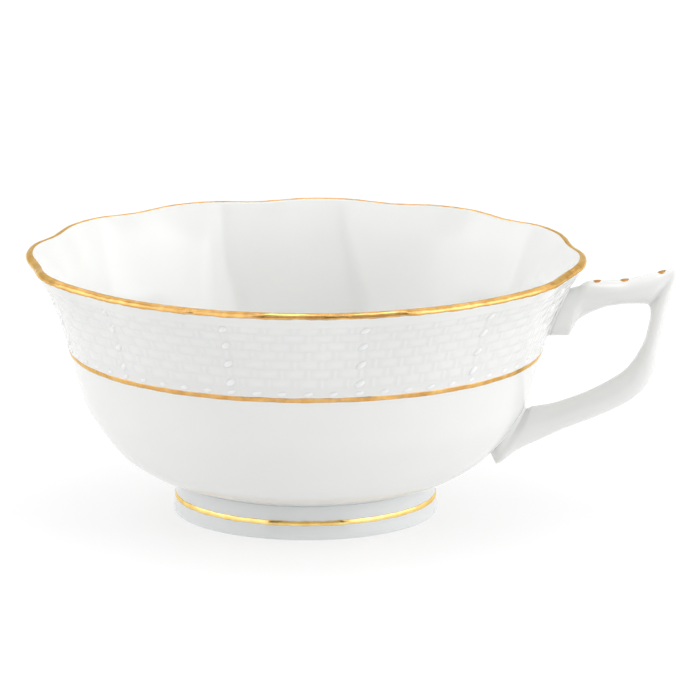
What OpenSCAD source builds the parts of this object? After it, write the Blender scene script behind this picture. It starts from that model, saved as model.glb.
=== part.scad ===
// Porcelain teacup with a lobed, flared lip, standing on a tall foot ring, with one ear-shaped handle.
// Millimetres, +Z up. The origin is the centre of the circle that the foot stands on, and the handle
// points along +X, on the crown of a lobe.

/* [Body] */
// Radius of the lip at the crown of a lobe
rim_r = 54; // [52:0.1:56]
// Height of the lip above the table
cup_h = 50.5; // [48:0.1:53]
// Radius of the body where the lobes end, at the gilded line
line_r = 45.7; // [44.7:0.1:46.7]
// Height of the gilded line
line_z = 32.2; // [31.2:0.1:33.2]
// Thickness of the wall
wall = 1.8; // [1.6:0.1:2.2]
// How many lobes the lip has
lobes = 12; // [12:12:24]
// Depth of the valleys between the lobes, at the lip
valley = 1.1; // [0.5:0.1:1.6]

/* [Foot ring] */
// Radius of the foot ring at its widest, just above the table
foot_r = 25.6; // [25:0.1:26.4]
// Height of the foot ring
foot_h = 6.6; // [6:0.1:7]
// Width of the foot ring's wall
foot_wall = 2.8; // [2:0.1:3.5]

/* [Handle] */
// Half the handle's width where it meets the body
root_half = 3.4; // [3:0.1:4]
// Half the handle's width along its loop
loop_half = 2.8; // [2.4:0.1:3.2]

/* [Slip and gilding] */
// Thickness of the slip that joins the pieces
slip = 0.4; // [0.2:0.1:0.6]
// Thickness at which the gilding is drawn
gilt = 0.1; // [0.05:0.05:0.2]
// Width of the two gilded lines
line_w = 0.8; // [0.5:0.1:1.2]
// Height of the gilded line on the foot
foot_line_z = 3.3; // [3:0.1:4]

/* [Hidden] */

around = 96;             // facets around the lobed pieces, eight to a lobe
base_z = foot_h + slip;  // underside of the bowl
base_r = 26;             // where that flat underside turns up into the belly
lip_r = wall / 2;        // the lip is a half round
lip_lean = 31;           // degrees that the wall leans outwards at the lip
lip_dip = 0.3;           // how far the lip dips at a valley
gilt_angles = [for (a = [-9:27:126]) a]; // gilded part of that half round, from its outer side over the top
lobe_z = line_z + line_w / 2;
root_z = [39.8, 16.5];   // middle heights of the handle's upper and lower roots
root_rise = [4.6, 4.4];  // half the height of each root
foot_round = 0.5;        // radius of the foot's lower edges
clear = 0.02;            // gap that keeps curved faces from crossing the faceted body

// ---- curves ----

function mix(a, b, t) = a + (b - a) * t;

function curve_point(a, b, c, d, t) =
    0.5 * (2 * b + (c - a) * t + (2 * a - 5 * b + 4 * c - d) * t * t + (3 * b - a - 3 * c + d) * t * t * t);

// A smooth curve through points p, with n steps between each two.
function spline(p, n) = let (last = len(p) - 1) concat(
    [for (i = [0:last - 1]) for (k = [0:n - 1])
        curve_point(p[max(i - 1, 0)], p[i], p[i + 1], p[min(i + 2, last)], k / n)],
    [p[last]]
);

// The profile p moved sideways by d, away from the axis if d is positive.
function offset_profile(p, d) = [for (i = [0:len(p) - 1])
    let (along = p[min(i + 1, len(p) - 1)] - p[max(i - 1, 0)], n = [along[1], -along[0]] / norm(along))
    p[i] + d * n];

// ---- the body's profile, as [radius, height] ----

lip_centre = [rim_r - lip_r, cup_h - lip_r];
wall_top = on_lip(-lip_lean, lip_r);

belly = [for (q = [[0, 0], [0.25, 0.075], [0.54, 0.24], [0.81, 0.53], [0.905, 0.73], [1, 1]])
    [mix(base_r, line_r, q[0]), mix(base_z, line_z, q[1])]];
flare = [for (q = [[0.25, 0.35], [0.57, 0.69], [1, 1]])
    [mix(line_r, wall_top[0], q[0]), mix(line_z, wall_top[1], q[1])]];
outside = spline(concat(belly, flare), 2);
heights = [for (p = outside) [p[1], p[0]]];

function on_lip(a, r) = lip_centre + r * [cos(a), sin(a)];
lip = [for (a = concat(gilt_angles, [180 - lip_lean])) on_lip(a, lip_r)];
inside = offset_profile([for (i = [len(outside) - 3:-2:2]) outside[i]], wall);
floor_z = base_z + wall;
bowl_profile = concat([[base_r - 2, base_z]], outside, lip, inside, [[24, floor_z + 0.4], [14, floor_z]]);

// The foot ring's outer side, as [height, radius]: it spreads a little towards the table.
foot_side = [[0, foot_r], [0.9, foot_r], [1.6, foot_r - 0.08], [4.9, foot_r - 0.55],
    [foot_h, foot_r - 0.65]];
function foot_side_r(z) = lookup(z, foot_side);

// ---- lobes ----

function fade(z) = max(0, (z - lobe_z) / (cup_h - lobe_z));
function notch(a) = pow(abs(sin(lobes / 2 * a)), 3);
function lobed(p, a) = let (w = fade(p[1]), r = p[0] - valley * w * notch(a))
    [r * cos(a), r * sin(a), p[1] - lip_dip * pow(w, 4) * notch(a)];
// Radius of the body's outside at height z, on a lobe's crown
function body_r(z) = lookup(z, heights);

// ---- solids from rings of points ----

function ring_faces(rings, n) = [for (i = [0:rings - 2]) for (k = [0:n - 1])
    let (a = i * n + k, b = i * n + (k + 1) % n) for (f = [[a, b, b + n], [a, b + n, a + n]]) f];

// A lobed shape turned around the axis: its profile runs from the axis below to the axis above.
module lobed_solid(profile) {
    count = len(profile);
    points = concat(
        [for (p = profile) for (k = [0:around - 1]) lobed(p, k * 360 / around)],
        [[0, 0, profile[0][1]], [0, 0, profile[count - 1][1]]]);
    low = count * around;
    top = (count - 1) * around;
    polyhedron(points, concat(
        [for (f = ring_faces(count, around)) [f[2], f[1], f[0]]],
        [for (k = [0:around - 1]) [low, k, (k + 1) % around]],
        [for (k = [0:around - 1]) [low + 1, top + (k + 1) % around, top + k]]), convexity = 6);
}

// A closed lobed band: its profile is a loop.
module lobed_band(profile) {
    count = len(profile);
    polyhedron([for (p = profile) for (k = [0:around - 1]) lobed(p, k * 360 / around)],
        [for (f = ring_faces(count + 1, around))
            [for (v = [f[2], f[1], f[0]]) v % (count * around)]], convexity = 6);
}

// A closed skin through rings of n points each, with a flat or curved cap at either end.
module tube(rings) {
    n = len(rings[0]);
    count = len(rings);
    polyhedron([for (r = rings) for (p = r) p], concat(
        ring_faces(count, n),
        [for (k = [1:n - 2]) [0, k + 1, k]],
        [for (k = [1:n - 2]) let (t = (count - 1) * n) [t, t + k, t + k + 1]]), convexity = 6);
}

// ---- the handle ----

// Each row is one cut across the handle: the outer edge, the inner edge and half the width.
// The cuts fan out around the inner corner, and the longest of them is the pointed thumb rest.
// The last ones reach below the lower root, where the handle ends in a short free tongue.
handle_cuts = [
    [[52.7, 45.0], [50.8, 35.3], 3.3],
    [[53.8, 45.7], [51.7, 36.9], 3.0],
    [[55.0, 46.1], [52.9, 38.7], loop_half],
    [[58.1, 46.2], [57.2, 40.9], loop_half],
    [[62.0, 46.5], [61.6, 41.7], loop_half],
    [[65.5, 47.5], [64.6, 41.8], loop_half],
    [[69.0, 48.3], [65.8, 41.7], 2.5],
    [[71.5, 48.8], [66.2, 41.2], 1.6],
    [[70.7, 45.0], [66.4, 40.3], 2.4],
    [[69.5, 40.0], [66.2, 38.3], 2.6],
    [[68.3, 34.4], [65.0, 33.8], 2.6],
    [[66.9, 27.7], [62.4, 29.5], loop_half],
    [[63.4, 23.2], [59.4, 27.0], loop_half],
    [[56.9, 19.7], [54.5, 24.3], loop_half],
    [[50.6, 17.1], [48.6, 22.0], loop_half],
    [[45.3, 14.6], [44.9, 21.2], 3.0],
    [[41.0, 12.4], [43.8, 21.0], 3.2],
    [[38.4, 10.4], [43.4, 20.8], 3.1],
    [[37.0, 9.4], [42.9, 20.6], 3.0]
];
cut_points = 16;

// One cut, as a ring of points on a rounded section.
function cut_ring(c) = let (mid = (c[0] + c[1]) / 2, half = (c[0] - c[1]) / 2)
    [for (k = [0:cut_points - 1]) let (a = k * 360 / cut_points, q = mid + half * cos(a))
        [q[0], c[2] * sin(a), q[1]]];

// Where the handle meets the body: an oval that lies on the body's outside, stood off by gap.
function root_ring(mid_z, rise, half, gap, turn) = [for (k = [0:cut_points - 1])
    let (a = turn * k * 360 / cut_points, z = mid_z + turn * rise * cos(a), y = turn * half * sin(a),
        r = body_r(z) + gap)
    [sqrt(r * r - y * y), y, z]];

function blend_rings(a, b, t) = [for (k = [0:len(a) - 1]) mix(a[k], b[k], t)];

// ---- pieces ----

module bowl() {
    color("white") lobed_solid(bowl_profile);
}

module foot_ring() {
    inner_r = foot_r - foot_wall;
    color("whitesmoke") rotate_extrude($fn = around)
        polygon(concat(
            [[inner_r, foot_h], [inner_r, foot_round], [inner_r + foot_round, 0]],
            [for (a = [-90:15:0]) [foot_r, foot_round] + foot_round * [cos(a) - 1, sin(a)]],
            [for (i = [1:4]) [foot_side[i][1], foot_side[i][0]]]));
}

module foot_slip() {
    inner_r = foot_r - foot_wall;
    outer_r = foot_side_r(foot_h);
    color("gainsboro") rotate_extrude($fn = around)
        polygon([[inner_r, foot_h], [outer_r, foot_h], [outer_r + 0.15, base_z], [inner_r - 0.2, base_z]]);
}

module handle() {
    gap = slip + clear;
    upper = root_ring(root_z[0], root_rise[0], root_half, gap, 1);
    lower = root_ring(root_z[1], root_rise[1], root_half, gap, -1);
    cuts = spline([for (c = handle_cuts) cut_ring(c)], 2);
    color("white") tube(concat([upper, blend_rings(upper, cuts[0], 0.5)], cuts,
        [blend_rings(cuts[len(cuts) - 1], lower, 0.5), lower]));
}

// A pad of slip between the body and a root of the handle, a little wider than the root.
module handle_slip(i) {
    spread = [1.08, 1.04, 1];
    color("gainsboro") tube([for (j = [0:2])
        root_ring(root_z[i], root_rise[i] * spread[j], root_half * spread[j], clear + slip * j / 2, 1)]);
}

module upper_handle_slip() {
    handle_slip(0);
}

module lower_handle_slip() {
    handle_slip(1);
}

module rim_gilding() {
    skin = [for (a = gilt_angles) on_lip(a, lip_r + gilt)];
    back = [for (i = [len(gilt_angles) - 1:-1:0]) on_lip(gilt_angles[i], lip_r)];
    color("gold") lobed_band(concat(skin, back));
}

module body_line_gilding() {
    low = line_z - line_w / 2;
    high = line_z + line_w / 2;
    low_r = body_r(low);
    high_r = body_r(high);
    color("gold") lobed_band([[low_r, low], [low_r + gilt, low], [high_r + gilt, high], [high_r, high]]);
}

module foot_line_gilding() {
    low = foot_line_z - line_w / 2;
    high = foot_line_z + line_w / 2;
    low_r = foot_side_r(low);
    high_r = foot_side_r(high);
    color("gold") rotate_extrude($fn = around)
        polygon([[low_r, low], [low_r + gilt, low], [high_r + gilt, high], [high_r, high]]);
}

// Each touch of gold is a small domed disc on the crest of the handle: [x, z, slope in degrees].
gold_touches = [[56.0, 46.1, 6], [61.4, 46.4, 6], [68.4, 48.1, 16]];

module handle_gilding() {
    dome = 0.25;
    color("gold") for (t = gold_touches) translate([t[0], 0, t[1]]) rotate([0, -t[2], 0])
        rotate_extrude($fn = 32) polygon([[0, -dome], [0.9, -dome], [0.9, 0], [0.5, dome * 0.8], [0, dome]]);
}

bowl();
foot_ring();
handle();
foot_slip();
upper_handle_slip();
lower_handle_slip();
rim_gilding();
body_line_gilding();
foot_line_gilding();
handle_gilding();
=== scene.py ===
"""A gilded porcelain teacup with a moulded basket weave under its lip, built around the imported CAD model.

Shapes are worked out in millimetres in the cup's own frame: +Z up, the handle along +X on a lobe's crown.
"""

import math

import bpy
import numpy as np
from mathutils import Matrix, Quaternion, Vector


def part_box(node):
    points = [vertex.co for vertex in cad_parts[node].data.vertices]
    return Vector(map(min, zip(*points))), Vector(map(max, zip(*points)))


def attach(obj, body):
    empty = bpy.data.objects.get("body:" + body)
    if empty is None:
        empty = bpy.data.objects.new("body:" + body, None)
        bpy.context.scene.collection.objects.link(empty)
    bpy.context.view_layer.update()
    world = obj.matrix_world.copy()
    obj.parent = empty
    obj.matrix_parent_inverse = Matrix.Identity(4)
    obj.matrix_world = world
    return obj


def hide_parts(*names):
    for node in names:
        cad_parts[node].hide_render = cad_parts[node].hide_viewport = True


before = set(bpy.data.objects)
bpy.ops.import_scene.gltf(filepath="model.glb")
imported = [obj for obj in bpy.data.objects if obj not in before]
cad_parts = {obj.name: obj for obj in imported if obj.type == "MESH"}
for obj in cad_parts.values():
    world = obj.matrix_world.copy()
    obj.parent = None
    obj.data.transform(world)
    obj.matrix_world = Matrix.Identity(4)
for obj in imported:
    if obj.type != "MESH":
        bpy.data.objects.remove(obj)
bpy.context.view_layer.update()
MM = 0.001


# ---------------------------------------------------------------- sizes, from the frame

def box_mm(node):
    low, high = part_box(node)
    return np.array(low) / MM, np.array(high) / MM


bowl_low, bowl_high = box_mm("bowl")
foot_low, foot_high = box_mm("foot_ring")
line_low, line_high = box_mm("body_line_gilding")
foot_line_low, foot_line_high = box_mm("foot_line_gilding")
gilt_high = box_mm("rim_gilding")[1]

RIM_R = bowl_high[1]
CUP_H = bowl_high[2]
BASE_Z = bowl_low[2]
GILT = gilt_high[1] - RIM_R          # how far the CAD's gilding stands out
LINE_Z = (line_low[2] + line_high[2]) / 2
LINE_W = line_high[2] - line_low[2]
LINE_FLARE = 0.12                    # how far the wall leans out between the line's middle and its top
LINE_R = line_high[1] - GILT - LINE_FLARE
FOOT_R = foot_high[1]
FOOT_H = foot_high[2]
FOOT_LINE_Z = (foot_line_low[2] + foot_line_high[2]) / 2
FOOT_LINE_W = foot_line_high[2] - foot_line_low[2]

WALL = 1.8
LIP_R = WALL / 2                     # the lip is a half round
LIP_LEAN = math.radians(31)          # how far the wall leans out from upright where it meets the lip
BASE_R = 26.0
FOOT_WALL = 2.8
FOOT_ROUND = 0.5                     # radius of the foot's lower edges
LOBES = 12
VALLEY = 1.1                         # how far the lip draws in between two lobes
LIP_DIP = 0.3                        # how far the lip dips there
GILT_FROM = math.radians(-9)         # where round the lip the gold starts, from straight out
GILT_TO = math.radians(116)
LOBE_Z = LINE_Z + LINE_W / 2         # the lobes start above this height


# ---------------------------------------------------------------- curves

def spline(points, steps):
    """A smooth curve through the points, with this many steps between each two."""
    p = np.asarray(points, float)
    last = len(p) - 1
    out = []
    for i in range(last):
        a, b, c, d = p[max(i - 1, 0)], p[i], p[i + 1], p[min(i + 2, last)]
        for t in np.arange(steps) / steps:
            out.append(0.5 * (2 * b + (c - a) * t + (2 * a - 5 * b + 4 * c - d) * t**2
                              + (3 * b - a - 3 * c + d) * t**3))
    out.append(p[last])
    return np.array(out)


def arc_length(p):
    return np.concatenate([[0], np.cumsum(np.linalg.norm(np.diff(p, axis=0), axis=1))])


def along(p, distances):
    """Points at these distances along the curve p."""
    s = arc_length(p)
    return np.stack([np.interp(distances, s, p[:, k]) for k in range(p.shape[1])], axis=1)


def normals(p):
    """Unit normals of a profile that runs upwards, pointing away from the axis."""
    d = np.gradient(p, axis=0)
    n = np.stack([d[:, 1], -d[:, 0]], axis=1)
    return n / np.linalg.norm(n, axis=1)[:, None]


def smooth(low, high, x):
    """A soft step, from 0 at low to 1 at high."""
    t = np.clip((x - low) / (high - low), 0, 1)
    return t * t * (3 - 2 * t)


# ---------------------------------------------------------------- the body's profile, as (radius, height)

LIP_CENTRE = np.array([RIM_R - LIP_R, CUP_H - LIP_R])


def on_lip(angle, radius=LIP_R):
    """Radius and height on a round about the middle of the lip, on a crown."""
    return LIP_CENTRE + np.stack([radius * np.cos(angle), radius * np.sin(angle)], axis=-1)


WALL_TOP = on_lip(-LIP_LEAN)
BELLY = [(0, 0), (0.25, 0.075), (0.54, 0.24), (0.81, 0.53), (0.905, 0.73), (1, 1)]
FLARE = [(0.25, 0.35), (0.57, 0.69), (1, 1)]
controls = [(BASE_R + (LINE_R - BASE_R) * u, BASE_Z + (LINE_Z - BASE_Z) * v) for u, v in BELLY]
controls += [(LINE_R + (WALL_TOP[0] - LINE_R) * u, LINE_Z + (WALL_TOP[1] - LINE_Z) * v) for u, v in FLARE]
OUTSIDE = spline(controls, 24)
OUTSIDE_ARC = arc_length(OUTSIDE)


def body_r(z):
    """The radius of the body's outside at height z, on a crown."""
    return np.interp(z, OUTSIDE[:, 1], OUTSIDE[:, 0])


def arc_at(z):
    """Distance along the outside's profile at height z."""
    return np.interp(z, OUTSIDE[:, 1], OUTSIDE_ARC)


def lobed(r, z, angle):
    """Points of the lobed surface: r and z as on a crown, and the angle round the axis."""
    w = np.maximum(0, (z - LOBE_Z) / (CUP_H - LOBE_Z))
    notch = np.abs(np.sin(LOBES / 2 * angle))**3
    radius = r - VALLEY * w * notch
    return np.stack([radius * np.cos(angle), radius * np.sin(angle), z - LIP_DIP * w**4 * notch], axis=-1)


# ---------------------------------------------------------------- meshes

def new_object(name, points, faces, materials, cad_node):
    """A smooth-shaded piece on the root body, with points in millimetres."""
    mesh = bpy.data.meshes.new(name)
    mesh.from_pydata((np.asarray(points) * MM).tolist(), [], faces)
    mesh.validate()
    mesh.shade_smooth()
    for m in materials:
        mesh.materials.append(m)
    piece = bpy.data.objects.new(name, mesh)
    bpy.context.scene.collection.objects.link(piece)
    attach(piece, "root")
    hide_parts(cad_node)
    return piece


def ring_strip(low, high):
    """Faces between two rings of point numbers. One ring may have 2, 3 or more times the other's points."""
    n, m = len(low), len(high)
    faces = []
    if n >= m:
        k = n // m
        for i in range(m):
            fine = [low[(i * k + j) % n] for j in range(k + 1)]
            faces.append(fine + [high[(i + 1) % m], high[i]])
    else:
        k = m // n
        for i in range(n):
            fine = [high[(i * k + j) % m] for j in range(k, -1, -1)]
            faces.append([low[i], low[(i + 1) % n]] + fine)
    return faces


class Skin:
    """Rings of points joined in order into one skin, with the share of the relief's height at each point."""

    def __init__(self):
        self.points, self.rings, self.relief, self.count = [], [], [], 0

    def ring(self, points, relief=1.0):
        self.points.append(points)
        self.relief.append(np.full(len(points), relief) if np.isscalar(relief) else relief)
        self.rings.append(list(range(self.count, self.count + len(points))))
        self.count += len(points)

    def faces(self, closed=False):
        """Strips between the rings, and then the last ring joined to the first, or a cap on each end."""
        pairs = list(zip(self.rings, self.rings[1:]))
        if closed:
            pairs.append((self.rings[-1], self.rings[0]))
        out = [f for a, b in pairs for f in ring_strip(a, b)]
        if not closed:
            out += [list(reversed(self.rings[0])), self.rings[-1]]
        return out

    def all_points(self):
        return np.concatenate(self.points)


# ---------------------------------------------------------------- the weave

STAKES_PER_LOBE = 10
STAKE = math.radians(360 / LOBES / STAKES_PER_LOBE)
TURN = math.radians(2)      # the ropes of beads stand this far round from the valleys
ROW = 2.07                  # height of a row, along the wall
ROWS = 8                    # the lowest row holds only the ends of the stakes
DEPTH = 0.16                # how far the ground lies under the wefts

# The mesh's columns stand at these angles from each stake, and its rings at these shares of each row.
COLUMN_OFFSETS = np.radians([-1.5, -0.85, -0.55, -0.28, 0, 0.28, 0.55, 0.85])
ROW_STEPS = np.array([0, 0.1, 0.25, 0.42, 0.58, 0.75, 0.9])
SMOOTH_RINGS = 26           # rings up the smooth belly, and down the inside
LIP_RINGS = 15

stake_angles = np.arange(LOBES * STAKES_PER_LOBE) * STAKE
FINE = (stake_angles[:, None] + COLUMN_OFFSETS[None, :]).ravel() + TURN
MEDIUM = FINE[::2]
COARSE = MEDIUM[::2]


def weave(angle, arc, radius):
    """Height of the relief over its ground. Wefts pass over every second stake, and the others are ribs."""
    row = np.floor(arc / ROW)
    across = np.sin(math.pi * (arc / ROW - row))
    u = (angle - TURN) / STAKE
    parity = np.mod(row + 1, 2)
    rib = 2 * np.round((u - parity) / 2) + parity
    off_rib = np.abs(u - rib) * STAKE * radius
    ribs = 0.9 * (1 - smooth(0, 0.7, off_rib)) * (0.4 + 0.6 * across)
    wefts = smooth(0.4, 1.6, off_rib) * across**0.7
    height = np.maximum(ribs, wefts)

    # A weft sinks where a bead of the rope crosses it.
    off_rope = np.abs(np.mod(u, STAKES_PER_LOBE) - STAKES_PER_LOBE / 2) * STAKE * radius
    height = np.where(np.mod(row, 2) == 1, height * smooth(0.4, 1.5, off_rope), height)
    return DEPTH * np.where(row == 0, 0, height)


def wall_ring(s, angles, line_arc):
    """One ring of the outside wall at distance s along the profile, with its relief."""
    r, z = along(OUTSIDE, [s])[0]
    n = normals(along(OUTSIDE, [s - 0.05, s, s + 0.05]))[1]
    arc = s - line_arc
    inset = smooth(0, 1, arc) * smooth(0, 0.5, ROWS * ROW - arc)
    lift = (weave(angles, arc, r) - DEPTH) * inset
    return lobed(r + n[0] * lift, z + n[1] * lift, angles), 1 + lift / DEPTH


def bowl_points():
    """The whole bowl, from under its floor, up the outside, over the lip and down the inside."""
    skin = Skin()
    line_arc = arc_at(LOBE_Z)
    end_arc = OUTSIDE_ARC[-1]
    skin.ring(lobed(BASE_R - 4, BASE_Z, COARSE))
    for s in np.linspace(0, line_arc - 0.3, SMOOTH_RINGS):
        r, z = along(OUTSIDE, [s])[0]
        skin.ring(lobed(r, z, COARSE))
    skin.ring(*wall_ring(line_arc - 0.12, MEDIUM, line_arc))
    rows = int(math.ceil((end_arc - line_arc) / ROW))
    arcs = (np.arange(rows)[:, None] + ROW_STEPS[None, :]).ravel() * ROW
    for arc in arcs[arcs < end_arc - line_arc - 0.05]:
        skin.ring(*wall_ring(line_arc + arc, FINE, line_arc))
    for a in np.linspace(-LIP_LEAN, math.pi - LIP_LEAN, LIP_RINGS):
        r, z = on_lip(a)
        skin.ring(lobed(r, z, MEDIUM))
    inside = OUTSIDE - WALL * normals(OUTSIDE)
    inside_arc = arc_length(inside)
    for s in np.linspace(inside_arc[-1] - 1.2, 0, SMOOTH_RINGS):
        r, z = along(inside, [s])[0]
        skin.ring(lobed(r, z, COARSE))
    for share in (0.8, 0.55, 0.3, 0.1):
        skin.ring(lobed(inside[0][0] * share, BASE_Z + WALL, COARSE))
    return skin


# ---------------------------------------------------------------- materials

def material(name):
    m = bpy.data.materials.new(name)
    m.use_nodes = True
    tree = m.node_tree
    return m, tree, tree.nodes["Principled BSDF"]


def node(tree, kind, **settings):
    n = tree.nodes.new(kind)
    for key, value in settings.items():
        setattr(n, key, value)
    return n


def noise(tree, scale, detail=2.0):
    coords = node(tree, "ShaderNodeTexCoord")
    n = node(tree, "ShaderNodeTexNoise")
    n.inputs["Scale"].default_value = scale
    n.inputs["Detail"].default_value = detail
    tree.links.new(coords.outputs["Object"], n.inputs["Vector"])
    return n.outputs["Fac"]


def ramp(tree, source, stops):
    r = node(tree, "ShaderNodeValToRGB")
    elements = r.color_ramp.elements
    while len(elements) < len(stops):
        elements.new(0.5)
    for e, (place, colour) in zip(elements, stops):
        e.position = place
        e.color = (*colour, 1) if len(colour) == 3 else (colour[0],) * 3 + (1,)
    tree.links.new(source, r.inputs["Fac"])
    return r.outputs["Color"]


def bump(tree, shader, sources):
    """Chains bumps: each source is (height socket, distance in mm, strength)."""
    before = None
    for height, distance, strength in sources:
        b = node(tree, "ShaderNodeBump")
        b.inputs["Strength"].default_value = strength
        b.inputs["Distance"].default_value = distance * MM
        tree.links.new(height, b.inputs["Height"])
        if before:
            tree.links.new(before, b.inputs["Normal"])
        before = b.outputs["Normal"]
    tree.links.new(before, shader.inputs["Normal"])


# The places of a Mix node's colour sockets, which share their names with its other sockets.
MIX_COLOUR_A, MIX_COLOUR_B, MIX_COLOUR_RESULT = 6, 7, 2


def porcelain(name, light, shade, relief=False):
    """White porcelain under a clear glaze. With relief, painted shade makes its colour a little darker in
    the relief's grooves.
    """
    m, tree, shader = material(name)
    colour = ramp(tree, noise(tree, 38), [(0.3, shade), (0.7, light)])
    if relief:
        height = node(tree, "ShaderNodeAttribute", attribute_name="relief")
        # Painted shade: the colour is made darker, down to 0.963 of itself, where the relief sinks to its
        # ground in the grooves.
        painted_groove_shade = ramp(tree, height.outputs["Fac"], [(0, (0.963,)), (1, (1.0,))])
        mix = node(tree, "ShaderNodeMix", data_type="RGBA", blend_type="MULTIPLY")
        mix.inputs["Factor"].default_value = 1
        tree.links.new(colour, mix.inputs[MIX_COLOUR_A])
        tree.links.new(painted_groove_shade, mix.inputs[MIX_COLOUR_B])
        colour = mix.outputs[MIX_COLOUR_RESULT]
    tree.links.new(colour, shader.inputs["Base Color"])
    gloss = ramp(tree, noise(tree, 260), [(0.3, (0.07,)), (0.7, (0.11,))])
    tree.links.new(gloss, shader.inputs["Roughness"])
    bump(tree, shader, [(noise(tree, 90), 0.03, 0.25), (noise(tree, 1400, 3), 0.002, 0.3)])
    shader.inputs["IOR"].default_value = 1.52
    shader.inputs["Subsurface Weight"].default_value = 0.15
    shader.inputs["Subsurface Radius"].default_value = (1.0, 0.9, 0.75)
    shader.inputs["Subsurface Scale"].default_value = 1.2 * MM
    return m


def burnished_gold(name, thin, thick):
    """Gold that is a little uneven, between the colours where it was brushed thin and thick."""
    m, tree, shader = material(name)
    colour = ramp(tree, noise(tree, 420, 4), [(0.3, thin), (0.7, thick)])
    tree.links.new(colour, shader.inputs["Base Color"])
    gloss = ramp(tree, noise(tree, 900, 3), [(0.3, (0.1,)), (0.7, (0.22,))])
    tree.links.new(gloss, shader.inputs["Roughness"])
    bump(tree, shader, [(noise(tree, 160, 2), 0.25, 0.35), (noise(tree, 700, 3), 0.03, 0.4)])
    shader.inputs["Metallic"].default_value = 1.0
    shader.inputs["Specular Tint"].default_value = (1.0, 0.9, 0.6, 1)
    return m


def bisque(name):
    """The bare ground rest face of the foot."""
    m, tree, shader = material(name)
    colour = ramp(tree, noise(tree, 700, 5), [(0.35, (0.62, 0.6, 0.56)), (0.65, (0.74, 0.72, 0.68))])
    tree.links.new(colour, shader.inputs["Base Color"])
    bump(tree, shader, [(noise(tree, 3000, 4), 0.03, 0.6)])
    shader.inputs["Roughness"].default_value = 0.75
    return m


GLAZE = porcelain("glazed_porcelain", (0.79, 0.795, 0.782), (0.765, 0.77, 0.757))
# The bowl's glaze, with painted shade in the relief's grooves.
BOWL_GLAZE = porcelain("bowl_glaze", (0.778, 0.783, 0.77), (0.754, 0.759, 0.746), relief=True)
# Painted highlight: the beads' glaze is a lighter copy of the bowl's, so that the beads read bright.
BEAD_GLAZE_PAINTED_HIGHLIGHT = porcelain("bead_glaze_painted_highlight", (0.825, 0.83, 0.82), (0.81, 0.815, 0.805))
# Painted shade: the foot's glaze is a darker copy of the glaze, for the shade that falls on the foot under
# the bowl.
FOOT_GLAZE_PAINTED_SHADE = porcelain("foot_glaze_painted_shade", (0.7, 0.715, 0.715), (0.68, 0.695, 0.695))
GOLD = burnished_gold("burnished_gold", (0.6, 0.32, 0.1), (0.82, 0.5, 0.18))
# Painted light: a lighter copy of the burnished gold, for the foot line.
FOOT_LINE_GOLD_PAINTED_LIGHT = burnished_gold("foot_gold", (0.85, 0.55, 0.17), (1.0, 0.74, 0.28))
# Painted shade: a darker copy of the burnished gold, for the handle's touches.
HANDLE_GOLD_PAINTED_SHADE = burnished_gold("handle_gold", (0.4, 0.2, 0.07), (0.56, 0.31, 0.11))
BISQUE = bisque("bisque")


# ---------------------------------------------------------------- the pieces

def make_bowl():
    skin = bowl_points()
    points, faces = skin.all_points(), skin.faces()
    piece = new_object("bowl_porcelain", points, faces, [BOWL_GLAZE], "bowl")
    relief = piece.data.attributes.new("relief", "FLOAT", "POINT")
    relief.data.foreach_set("value", np.concatenate(skin.relief))
    return piece


# Beads of the relief: half length, half width, height and slant.
ROPE_BEAD = (1.15, 0.68, 0.38, math.radians(35))
STAKE_END = (0.95, 0.5, 0.26, math.radians(15))
ROPE_BEAD_AT = 0.35         # how far up its row a rope's bead lies
STAKE_END_AT = 0.75         # how far above the gold line a stake ends


def add_bead(points, faces, angle, arc, shape):
    """A domed bead on the wall, rising to the right."""
    half_long, half_wide, height, slant = shape

    def on_wall(a, s):
        return lobed(*along(OUTSIDE, [s])[0], np.array([a]))[0]

    s = arc_at(LOBE_Z) + arc
    centre = on_wall(angle, s)
    right = on_wall(angle + 0.01, s) - on_wall(angle - 0.01, s)
    right /= np.linalg.norm(right)
    rise = on_wall(angle, s + 0.1) - on_wall(angle, s - 0.1)
    out = np.cross(right, rise)
    out /= np.linalg.norm(out)
    rise = np.cross(out, right)
    long_way = right * math.cos(slant) + rise * math.sin(slant)
    wide_way = rise * math.cos(slant) - right * math.sin(slant)
    start, count = len(points), 16
    rim = np.arange(count) * 2 * math.pi / count
    shares = (1.1, 1, 0.93, 0.82, 0.68, 0.52, 0.34, 0.12)
    for share in shares:
        lift = height * (1 - share**2)**0.75 if share <= 1 else -0.2
        for a in rim:
            points.append(centre + long_way * half_long * share * math.cos(a)
                          + wide_way * half_wide * share * math.sin(a) + out * (lift - DEPTH))
    rings = [[start + i * count + k for k in range(count)] for i in range(len(shares))]
    for a, b in zip(rings, rings[1:]):
        faces += ring_strip(a, b)
    faces += [list(reversed(rings[0])), rings[-1]]


def make_beads():
    """The ropes of beads near the valleys, and the ends of the stakes above the gold line."""
    points, faces = [], []
    for lobe in range(LOBES):
        rope = TURN + (lobe + 0.5) * 2 * math.pi / LOBES
        for row in range(1, ROWS, 2):
            add_bead(points, faces, rope, (row + ROPE_BEAD_AT) * ROW, ROPE_BEAD)
    for end in range(1, LOBES * STAKES_PER_LOBE, 2):
        add_bead(points, faces, TURN + end * STAKE, STAKE_END_AT, STAKE_END)
    return new_object("relief_beads", points, faces, [BEAD_GLAZE_PAINTED_HIGHLIGHT], "bowl")


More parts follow.
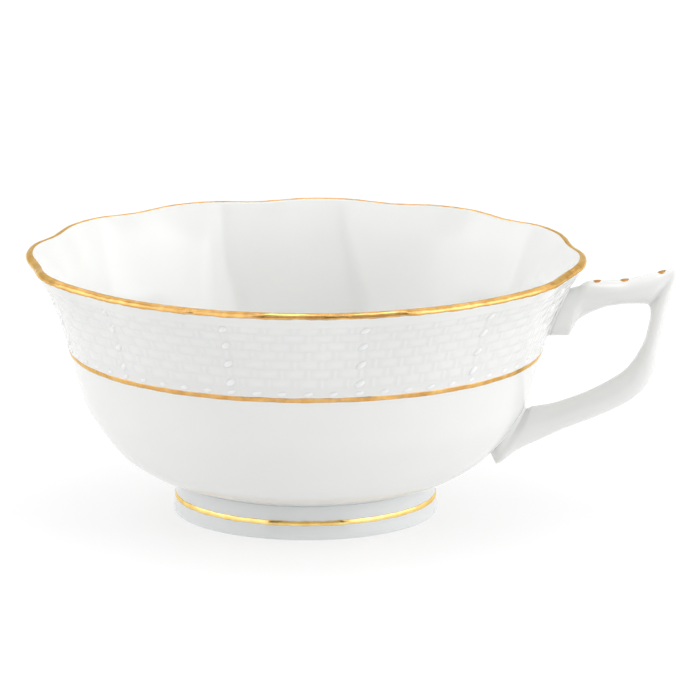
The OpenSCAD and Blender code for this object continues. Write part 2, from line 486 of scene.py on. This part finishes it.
def revolved(name, profile, count, materials, cad_node, pick=None):
    """A closed profile turned about the axis. pick gives the number of each face's material."""
    angles = np.arange(count) * 2 * math.pi / count
    skin = Skin()
    for r, z in profile:
        skin.ring(np.stack([r * np.cos(angles), r * np.sin(angles), np.full(count, z)], axis=1))
    piece = new_object(name, skin.all_points(), skin.faces(closed=True), materials, cad_node)
    if pick:
        for face in piece.data.polygons:
            face.material_index = pick(face)
    return piece


# The foot's outer side from the table up, as (height, radius).
FOOT_SIDE = [(0, FOOT_R), (0.9, FOOT_R), (1.6, FOOT_R - 0.08), (4.9, FOOT_R - 0.55), (FOOT_H, FOOT_R - 0.65)]


def foot_side_r(z):
    """The foot's outer radius at height z."""
    heights, radii = zip(*FOOT_SIDE)
    return np.interp(z, heights, radii)


def foot_profile():
    """The foot ring's section, anticlockwise from its inner top."""
    inner = FOOT_R - FOOT_WALL
    heel = [(inner + FOOT_ROUND * (1 - math.cos(a)), FOOT_ROUND * (1 - math.sin(a)))
            for a in np.radians([0, 20, 45, 70, 90])]
    toe = [(FOOT_R - FOOT_ROUND * (1 - math.sin(a)), FOOT_ROUND * (1 - math.cos(a)))
           for a in np.radians([0, 15, 30, 45, 60, 75, 90])]
    side = spline([(r, z) for z, r in FOOT_SIDE[1:]], 4)
    return np.concatenate([[(inner, FOOT_H), (inner, FOOT_H / 2)], heel, toe, side])


FOOT_FACETS = 240


def make_foot():
    """The foot ring, glazed but for the ground face that it stands on."""
    def is_rest_face(face):
        return int(face.normal.z < -0.98)

    materials = [FOOT_GLAZE_PAINTED_SHADE, BISQUE]
    return revolved("foot_ring_porcelain", foot_profile(), FOOT_FACETS, materials, "foot_ring",
                    is_rest_face)


def make_foot_slip():
    """The thin pad of slip that fills the joint between the bowl and the foot ring."""
    inner = FOOT_R - FOOT_WALL
    outer = foot_side_r(FOOT_H)
    profile = [(inner - 0.2, BASE_Z), (inner, FOOT_H), (outer, FOOT_H), (outer + 0.05, FOOT_H + 0.14),
               (outer + 0.15, BASE_Z)]
    return revolved("foot_slip_joint", profile, FOOT_FACETS, [GLAZE], "foot_slip")


LOOP_HALF = 2.8             # half the handle's width in most of its loop
ROOT_HALF = 3.4             # half the width of its roots

# Each row is one cut across the handle, from the upper root round to the lower: the (x, z) of its outer
# edge and of its inner edge, and half its width.
HANDLE_CUTS = [
    ((52.7, 45.0), (50.8, 35.3), 3.3),
    ((53.8, 45.7), (51.7, 36.9), 3.0),
    ((55.0, 46.1), (52.9, 38.7), LOOP_HALF),
    ((58.1, 46.2), (57.2, 40.9), LOOP_HALF),
    ((62.0, 46.5), (61.6, 41.7), LOOP_HALF),
    ((65.5, 47.5), (64.6, 41.8), LOOP_HALF),
    ((69.0, 48.3), (65.8, 41.7), 2.5),
    ((71.42, 48.8), (66.2, 41.2), 1.6),
    ((70.7, 45.0), (66.4, 40.3), 2.4),
    ((69.5, 40.0), (66.2, 38.3), 2.6),
    ((68.3, 34.4), (65.0, 33.8), 2.6),
    ((66.9, 27.7), (62.4, 29.5), LOOP_HALF),
    ((63.4, 23.2), (59.4, 27.0), LOOP_HALF),
    ((56.9, 19.7), (54.5, 24.3), LOOP_HALF),
    ((50.6, 17.1), (48.6, 22.0), LOOP_HALF),
    ((45.3, 14.6), (44.9, 21.2), 3.0),
    ((41.0, 12.4), (43.8, 21.0), 3.2),
    ((38.5, 10.4), (43.4, 20.8), 3.1),
    ((37.6, 9.75), (43.1, 20.7), 3.0),
    ((36.95, 9.6), (42.9, 20.6), 2.9),
    ((36.65, 10.1), (42.7, 20.5), 2.9),
]
ROOT_Z = (39.8, 16.5)       # heights of the upper and lower roots' middles
ROOT_RISE = (4.6, 4.4)      # half their heights
ROOT_GAP = 0.05             # how far a root stands off the bowl, in its slip
ROOT_STEPS = 5              # rings between a root and the nearest cut
CUT_POINTS = 48
CUT_ANGLES = np.arange(CUT_POINTS) * 2 * math.pi / CUT_POINTS


def cut_ring(outer, inner, half):
    """An oval cut through the handle."""
    outer, inner = np.array(outer), np.array(inner)
    mid, rise = (outer + inner) / 2, (outer - inner) / 2
    q = mid + rise * np.cos(CUT_ANGLES)[:, None]
    return np.stack([q[:, 0], half * np.sin(CUT_ANGLES), q[:, 1]], axis=1)


def root_ring(mid_z, rise, half, gap, turn):
    """An oval on the bowl's outside. turn is 1 where the handle's outer edge is above, and -1 below."""
    z = mid_z + turn * rise * np.cos(CUT_ANGLES)
    y = half * np.sin(CUT_ANGLES)
    r = body_r(z) + gap
    return np.stack([np.sqrt(r * r - y * y), y, z], axis=1)


def make_handle():
    """The handle: a skin from the upper root through the cuts to the lower root."""
    upper = root_ring(ROOT_Z[0], ROOT_RISE[0], ROOT_HALF, ROOT_GAP, 1)
    lower = root_ring(ROOT_Z[1], ROOT_RISE[1], ROOT_HALF, ROOT_GAP, -1)
    cuts = [cut_ring(*c).ravel() for c in HANDLE_CUTS]
    rings = spline(cuts, 10).reshape(-1, CUT_POINTS, 3)
    skin = Skin()
    shares = np.linspace(0, 1, ROOT_STEPS + 1)
    for t in shares[:-1]:
        skin.ring(upper * (1 - t) + rings[0] * t)
    for ring in rings:
        skin.ring(ring)
    for t in shares[1:]:
        skin.ring(rings[-1] * (1 - t) + lower * t)
    faces = [list(reversed(f)) for f in skin.faces()]
    return new_object("handle_porcelain", skin.all_points(), faces, [GLAZE], "handle")


def make_handle_slip(i, name, cad_node):
    """A pad of slip under root i, squeezed out a little all round."""
    skin = Skin()
    for spread, gap in ((1.07, -0.1), (1.07, 0.02), (1.03, 0.1), (1.0, 0.3), (0.98, 0.4)):
        skin.ring(root_ring(ROOT_Z[i], ROOT_RISE[i] * spread, ROOT_HALF * spread, gap, 1))
    return new_object(name, skin.all_points(), skin.faces(), [GLAZE], cad_node)


def make_rim_gilding():
    """Gold laid over the lip by hand: its skin swells and thins, and its outer edge wanders a little."""
    skin = Skin()
    angles = MEDIUM
    wander = 0.05 * np.sin(37 * angles + 1) + 0.04 * np.sin(83 * angles + 2) + 0.03 * np.sin(151 * angles)
    steps = np.linspace(0, 1, 12)

    def gold_ring(step, lift):
        a = GILT_FROM + (GILT_TO - GILT_FROM) * step + wander * (1 - step)
        p = on_lip(a, LIP_R + lift)
        return lobed(p[:, 0], p[:, 1], angles)

    for step in steps:
        swell = 0.012 * np.sin(61 * angles + 9 * step) + 0.012 * np.sin(113 * angles - 7 * step)
        edge = min(1, 8 * min(step, 1 - step))
        skin.ring(gold_ring(step, 0.01 + (0.045 + swell) * edge))
    for step in steps[::-1]:
        skin.ring(gold_ring(step, -0.05))
    return new_object("rim_gold", skin.all_points(), skin.faces(closed=True), [GOLD], "rim_gilding")


LINE_FACETS = 720
LINE_SPREAD = 0.57      # half a line's height, as a share of its CAD height


def gold_line(name, radius_at, z, width, gold, cad_node):
    """A brushed line of gold round the cup, whose edges wander a little."""
    angles = np.arange(LINE_FACETS) * 2 * math.pi / LINE_FACETS
    skin = Skin()
    top = z + width * LINE_SPREAD + 0.03 * np.sin(29 * angles) + 0.02 * np.sin(71 * angles + 1)
    low = z - width * LINE_SPREAD + 0.03 * np.sin(23 * angles + 2) + 0.02 * np.sin(67 * angles + 4)
    section = [(0, -0.04), (0, 0.01), (0.12, 0.045), (0.5, 0.06), (0.88, 0.045), (1, 0.01), (1, -0.04)]
    for share, lift in section:
        height = low + (top - low) * share
        r = radius_at(height) + lift
        skin.ring(np.stack([r * np.cos(angles), r * np.sin(angles), height], axis=1))
    return new_object(name, skin.all_points(), skin.faces(closed=True), [gold], cad_node)


# Each touch is the x and z of its middle on the crest, and the crest's slope there in degrees.
GOLD_TOUCHES = ((56.0, 46.1, 6), (61.4, 46.45, 6), (68.4, 48.15, 16))
TOUCH_HALF_LONG = 0.9
TOUCH_HALF_WIDE = 1.15
CREST_R = 2.6           # the crest's radius across the handle


def make_handle_gilding():
    """Three touches of gold on the crest of the handle."""
    points, faces = [], []
    rim = np.arange(24) * 2 * math.pi / 24
    for x, z, slope in GOLD_TOUCHES:
        slope = math.radians(slope)
        start = len(points)
        for share, lift in ((1, -0.2), (0.97, 0.0), (0.8, 0.08), (0.5, 0.12), (0.2, 0.13)):
            for a in rim:
                u = TOUCH_HALF_LONG * share * math.cos(a)
                v = TOUCH_HALF_WIDE * share * math.sin(a)
                w = lift - v * v / (2 * CREST_R)
                points.append((x + u * math.cos(slope) - w * math.sin(slope), v,
                               z + u * math.sin(slope) + w * math.cos(slope)))
        n = len(rim)
        rings = [[start + j * n + k for k in range(n)] for j in range(5)]
        for a, b in zip(rings, rings[1:]):
            faces += ring_strip(a, b)
        faces += [list(reversed(rings[0])), rings[-1]]
    return new_object("handle_gold_touches", points, faces, [HANDLE_GOLD_PAINTED_SHADE], "handle_gilding")


make_bowl()
make_beads()
make_foot()
make_foot_slip()
make_handle()
make_handle_slip(0, "upper_root_slip", "upper_handle_slip")
make_handle_slip(1, "lower_root_slip", "lower_handle_slip")
make_rim_gilding()
gold_line("body_gold_line", body_r, LINE_Z, LINE_W, GOLD, "body_line_gilding")
gold_line("foot_gold_line", foot_side_r, FOOT_LINE_Z, FOOT_LINE_W, FOOT_LINE_GOLD_PAINTED_LIGHT, "foot_line_gilding")
make_handle_gilding()


# ---------------------------------------------------------------- floor, light and camera

def make_floor():
    """A pale floor with a little light of its own, so that it stays white and the shadow on it is faint."""
    m, tree, shader = material("floor_white")
    tree.links.new(ramp(tree, noise(tree, 6), [(0.4, (0.33,)), (0.6, (0.35,))]), shader.inputs["Base Color"])
    shader.inputs["Roughness"].default_value = 0.5
    shader.inputs["Emission Color"].default_value = (1, 1, 1, 1)
    shader.inputs["Emission Strength"].default_value = 0.57
    half = 2.5      # metres
    corners = [(-half, -half, 0), (half, -half, 0), (half, half, 0), (-half, half, 0)]
    mesh = bpy.data.meshes.new("floor")
    mesh.from_pydata(corners, [], [[0, 1, 2, 3]])
    mesh.materials.append(m)
    floor = bpy.data.objects.new("floor", mesh)
    bpy.context.scene.collection.objects.link(floor)


# Soft panels of light all round, as (azimuth from -Y towards +X, elevation, half width, half height,
# brightness), with the angles in degrees.
PANELS = (
    # left
    (-88, 20, 24, 18, 1.1),
    (-94, 13, 30, 15, 0.85),
    (-94, 43, 30, 15, 1.0),
    # front left
    (-46, 13, 18, 15, 1.4),
    (-46, 43, 18, 15, 1.45),
    # right
    (85, 20, 30, 18, 1.2),
    (101, 13, 41, 15, 1.25),
    (101, 43, 41, 15, 1.2),
    # front right
    (51, 13, 9, 15, 1.95),
    (51, 43, 9, 15, 1.95),
    # front, low and high
    (8, 13, 26, 15, 0.55),
    (8, 43, 26, 15, 0.78),
    # back, low and high
    (189, 13, 47, 15, 0.8),
    (189, 43, 47, 15, 1.2),
    # overhead, and all round under the horizon
    (0, 90, 180, 14, 2.2),
    (0, 90, 180, 32, 1.05),
    (0, -46, 180, 44, 1.1),
)
SOFT_EDGE = 3           # half the width of a panel's soft edge, in degrees


def math_node(tree, operation, *values):
    n = node(tree, "ShaderNodeMath", operation=operation)
    for socket, value in zip(n.inputs, values):
        if isinstance(value, (int, float)):
            socket.default_value = value
        else:
            tree.links.new(value, socket)
    return n.outputs[0]


def window(tree, angle, centre, half):
    """1 where the angle is within half of the centre, and 0 outside, with a soft edge between."""
    off = math_node(tree, "SUBTRACT", angle, math.radians(centre))
    off = math_node(tree, "ABSOLUTE", math_node(tree, "WRAP", off, math.pi, -math.pi))
    edge = node(tree, "ShaderNodeMapRange", interpolation_type="SMOOTHSTEP")
    edge.inputs["From Min"].default_value = math.radians(half - SOFT_EDGE)
    edge.inputs["From Max"].default_value = math.radians(half + SOFT_EDGE)
    edge.inputs["To Min"].default_value = 1
    edge.inputs["To Max"].default_value = 0
    tree.links.new(off, edge.inputs["Value"])
    return edge.outputs["Result"]


def make_world(panels):
    """A sky whose brightness is the sum of the panels."""
    world = bpy.data.worlds.new("studio")
    bpy.context.scene.world = world
    world.use_nodes = True
    tree = world.node_tree
    split = node(tree, "ShaderNodeSeparateXYZ")
    tree.links.new(node(tree, "ShaderNodeTexCoord").outputs["Generated"], split.inputs["Vector"])
    x, y, z = (split.outputs[axis] for axis in "XYZ")
    azimuth = math_node(tree, "ARCTAN2", x, math_node(tree, "MULTIPLY", y, -1))
    elevation = math_node(tree, "ARCSINE", z)
    total = None
    for turn, rise, half_width, half_height, strength in panels:
        light = math_node(tree, "MULTIPLY", window(tree, elevation, rise, half_height), strength)
        if half_width < 180:
            light = math_node(tree, "MULTIPLY", light, window(tree, azimuth, turn, half_width))
        total = light if total is None else math_node(tree, "ADD", total, light)
    tree.links.new(total, tree.nodes["Background"].inputs["Strength"])
    tree.nodes["Background"].inputs["Color"].default_value = (1, 1, 1, 1)


CAMERA_AZIMUTH = math.radians(4.5)          # from -Y towards the handle
CAMERA_ELEVATION = math.radians(14.43)
CAMERA_DISTANCE = 1200                      # from the middle of the foot's rest face
AIM_RIGHT = 8.592                           # it looks this far to the right of that middle
AIM_UP = 30.576                             # and this far above it, across its view
CAMERA_ROLL = math.radians(-0.16)
LENS = 317.494


def make_camera():
    """The camera stands far off, a little above the cup and a little towards its handle."""
    level = math.cos(CAMERA_ELEVATION)
    back = Vector((math.sin(CAMERA_AZIMUTH) * level, -math.cos(CAMERA_AZIMUTH) * level,
                   math.sin(CAMERA_ELEVATION)))
    right = Vector((math.cos(CAMERA_AZIMUTH), math.sin(CAMERA_AZIMUTH), 0))
    up = back.cross(right)
    look = right * AIM_RIGHT + up * AIM_UP - back * CAMERA_DISTANCE
    data = bpy.data.cameras.new("camera")
    data.sensor_width = 36
    data.lens = LENS
    data.clip_end = 30
    camera = bpy.data.objects.new("camera", data)
    camera.location = back * CAMERA_DISTANCE * MM
    camera.rotation_mode = "QUATERNION"
    tilt = Quaternion(look, CAMERA_ROLL)
    camera.rotation_quaternion = tilt @ look.to_track_quat("-Z", "Y")
    bpy.context.scene.collection.objects.link(camera)
    bpy.context.scene.camera = camera


make_floor()
make_world(PANELS)
make_camera()
bpy.context.scene.view_settings.view_transform = "Standard"
